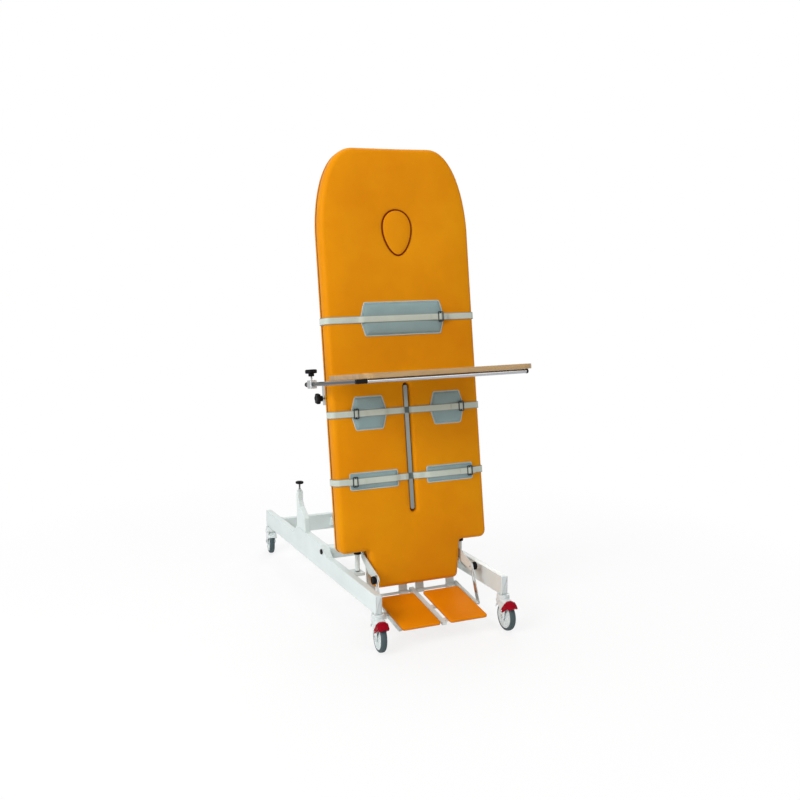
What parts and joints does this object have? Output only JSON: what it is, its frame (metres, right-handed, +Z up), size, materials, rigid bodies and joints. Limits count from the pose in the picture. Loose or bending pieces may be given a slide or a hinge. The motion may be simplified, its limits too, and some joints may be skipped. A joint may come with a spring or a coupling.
{
  "type": "tilt table",
  "caption": "padded standing tilt table on a wheeled base, with body straps, a clamp-on work board and hinged foot plates",
  "frame": {"origin": "on the floor, under the middle of the whole table's bounding box", "axes": "+Z up; -Y is the front, which the lying surface faces; +X is to the right of someone looking at the front"},
  "size_m": [0.8034, 1.609, 2.0286],
  "materials": {
    "beech_ply": "lacquered beech board",
    "black_plastic": "moulded black plastic",
    "black_rubber": "black rubber",
    "bright_steel": "plain bright steel",
    "chrome": "bright chrome",
    "grey_plastic": "dark grey moulded housing",
    "grey_tyre": "non-marking grey rubber",
    "grey_webbing": "woven webbing and padded cloth",
    "orange_vinyl": "smooth upholstery vinyl",
    "red_plastic": "red moulded plastic",
    "white_paint": "white epoxy powder coat",
    "white_plastic": "off-white moulded plastic"
  },
  "bodies": {
    "base": {"base_beam_left": "white_paint", "base_beam_right": "white_paint", "cross_bolt_cap_left": "black_rubber", "cross_bolt_cap_right": "black_rubber", "front_buffer_left": "black_rubber", "front_buffer_right": "black_rubber", "mid_cross_member": "white_paint", "rear_buffer_left": "black_rubber", "rear_buffer_right": "black_rubber", "rear_cross_member": "white_paint", "rear_post_left": "white_paint", "rear_post_right": "white_paint", "tilt_shaft": "bright_steel"},
    "castor_front_left": {"castor_fork_front_left": "white_plastic"},
    "wheel_front_left": {"castor_wheel_front_left": "white_plastic", "castor_tyre_front_left": "grey_tyre"},
    "castor_front_right": {"castor_fork_front_right": "white_plastic"},
    "wheel_front_right": {"castor_wheel_front_right": "white_plastic", "castor_tyre_front_right": "grey_tyre"},
    "castor_rear_left": {"castor_fork_rear_left": "white_plastic"},
    "wheel_rear_left": {"castor_wheel_rear_left": "white_plastic", "castor_tyre_rear_left": "grey_tyre"},
    "castor_rear_right": {"castor_fork_rear_right": "white_plastic"},
    "wheel_rear_right": {"castor_wheel_rear_right": "white_plastic", "castor_tyre_rear_right": "grey_tyre"},
    "pedal_front_left": {"brake_pedal_front_left": "red_plastic"},
    "pedal_front_right": {"brake_pedal_front_right": "red_plastic"},
    "plug": {"face_plug": "orange_vinyl"},
    "clamp": {"tray_clamp": "bright_steel"},
    "tray": {"side_arm": "chrome", "rail_corner": "black_plastic", "front_rail": "chrome", "work_board": "beech_ply"},
    "reach_screw": {"reach_knob": "black_plastic"},
    "height_screw": {"height_knob": "black_plastic"},
    "foot_rest": {"foot_frame": "white_paint", "foot_plate_left": "orange_vinyl", "foot_plate_right": "orange_vinyl"},
    "strut_left": {"foot_strut_left": "bright_steel"},
    "foot_screw_left": {"foot_knob_left": "black_plastic"},
    "strut_right": {"foot_strut_right": "bright_steel"},
    "foot_screw_right": {"foot_knob_right": "black_plastic"},
    "actuator": {"actuator_body": "grey_plastic"},
    "actuator_ram": {"actuator_rod": "bright_steel"},
    "bed": {"ankle_strap_left": "grey_webbing", "ankle_strap_right": "grey_webbing", "bed_board": "beech_ply", "bed_rail_left": "white_paint", "bed_rail_right": "white_paint", "chest_strap": "grey_webbing", "foot_hanger": "white_paint", "leg_strap_bar": "bright_steel", "lower_cross_tube": "white_paint", "mattress": "orange_vinyl", "pivot_cross_tube": "white_paint", "side_rail": "bright_steel", "thigh_strap_left": "grey_webbing", "thigh_strap_right": "grey_webbing", "upper_cross_tube": "white_paint"}
  },
  "joints": [
    {"name": "table_tilt", "type": "hinge", "parent": "base", "child": "bed", "pos_m": [0.02174, -0.17659, 0.34261], "axis": [-1, 0, 0], "range_deg": [0, 81.2]},
    {"name": "tray_height", "type": "slide", "parent": "bed", "child": "clamp", "axis": [0, 0.153, 0.9882], "range_m": [-0.03, 0.13]},
    {"name": "tray_reach", "type": "slide", "parent": "clamp", "child": "tray", "axis": [0, -0.9882, 0.153], "range_m": [-0.01, 0.03]},
    {"name": "foot_plate_angle", "type": "hinge", "parent": "bed", "child": "foot_rest", "pos_m": [0.02174, -0.39666, 0.10869], "axis": [-1, 0, 0], "range_deg": [0, 17]},
    {"name": "strut_swing_left", "type": "hinge", "parent": "foot_rest", "child": "strut_left", "pos_m": [0, -0.59602, 0.08931], "axis": [1, 0, 0], "range_deg": [0, 6.6]},
    {"name": "strut_swing_right", "type": "hinge", "parent": "foot_rest", "child": "strut_right", "pos_m": [0, -0.59602, 0.08931], "axis": [1, 0, 0], "range_deg": [0, 6.6]},
    {"name": "foot_knob_turn_left", "type": "hinge", "parent": "bed", "child": "foot_screw_left", "pos_m": [-0.19276, -0.53438, 0.23221], "axis": [-1, 0, 0], "continuous": true},
    {"name": "foot_knob_turn_right", "type": "hinge", "parent": "bed", "child": "foot_screw_right", "pos_m": [0.23624, -0.53438, 0.23221], "axis": [1, 0, 0], "continuous": true},
    {"name": "reach_knob_turn", "type": "hinge", "parent": "clamp", "child": "reach_screw", "pos_m": [-0.37826, -0.24854, 1.05243], "axis": [0, 0.153, 0.9882], "continuous": true},
    {"name": "height_knob_turn", "type": "hinge", "parent": "clamp", "child": "height_screw", "pos_m": [-0.32356, -0.24803, 0.97009], "axis": [-1, 0, 0], "continuous": true},
    {"name": "face_plug_lift", "type": "slide", "parent": "bed", "child": "plug", "axis": [0, -0.9882, 0.153], "range_m": [0, 0.09]},
    {"name": "castor_swivel_front_left", "type": "hinge", "parent": "base", "child": "castor_front_left", "pos_m": [-0.26926, -0.69859, -0.00039], "axis": [0, 0, 1], "continuous": true},
    {"name": "wheel_spin_front_left", "type": "hinge", "parent": "castor_front_left", "child": "wheel_front_left", "pos_m": [-0.2726, -0.73041, 0.06211], "axis": [0.9945, -0.1045, 0], "continuous": true},
    {"name": "brake_pedal_press_front_left", "type": "hinge", "parent": "castor_front_left", "child": "pedal_front_left", "pos_m": [-0.2726, -0.73041, 0.08811], "axis": [0.9945, -0.1045, 0], "range_deg": [0, 3]},
    {"name": "castor_swivel_front_right", "type": "hinge", "parent": "base", "child": "castor_front_right", "pos_m": [0.31274, -0.69859, -0.00039], "axis": [0, 0, 1], "continuous": true},
    {"name": "wheel_spin_front_right", "type": "hinge", "parent": "castor_front_right", "child": "wheel_front_right", "pos_m": [0.31274, -0.73059, 0.06211], "axis": [1, 0, 0], "continuous": true},
    {"name": "brake_pedal_press_front_right", "type": "hinge", "parent": "castor_front_right", "child": "pedal_front_right", "pos_m": [0.31274, -0.73059, 0.08811], "axis": [1, 0, 0], "range_deg": [0, 3]},
    {"name": "castor_swivel_rear_left", "type": "hinge", "parent": "base", "child": "castor_rear_left", "pos_m": [-0.26926, 0.71041, -0.00039], "axis": [0, 0, 1], "continuous": true},
    {"name": "wheel_spin_rear_left", "type": "hinge", "parent": "castor_rear_left", "child": "wheel_rear_left", "pos_m": [-0.2637, 0.74193, 0.06211], "axis": [-0.9848, 0.1736, 0], "continuous": true},
    {"name": "castor_swivel_rear_right", "type": "hinge", "parent": "base", "child": "castor_rear_right", "pos_m": [0.31274, 0.71041, -0.00039], "axis": [0, 0, 1], "continuous": true},
    {"name": "wheel_spin_rear_right", "type": "hinge", "parent": "castor_rear_right", "child": "wheel_rear_right", "pos_m": [0.31274, 0.74241, 0.06211], "axis": [-1, 0, 0], "continuous": true},
    {"name": "actuator_swing", "type": "hinge", "parent": "base", "child": "actuator", "pos_m": [0.02174, 0.52141, 0.18761], "axis": [1, 0, 0], "range_deg": [-5.35, 0]},
    {"name": "actuator_extend", "type": "slide", "parent": "actuator", "child": "actuator_ram", "axis": [0, 0.9524, -0.3049], "range_m": [0, 0.1434]}
  ],
  "couplings": [
    {"joint": "strut_swing_left", "follows": "foot_plate_angle", "ratio": 0.38},
    {"joint": "strut_swing_right", "follows": "foot_plate_angle", "ratio": 0.38},
    {"joint": "actuator_swing", "follows": "table_tilt", "ratio": -0.064},
    {"joint": "actuator_extend", "follows": "table_tilt", "m_per_rad": 0.1002}
  ]
}
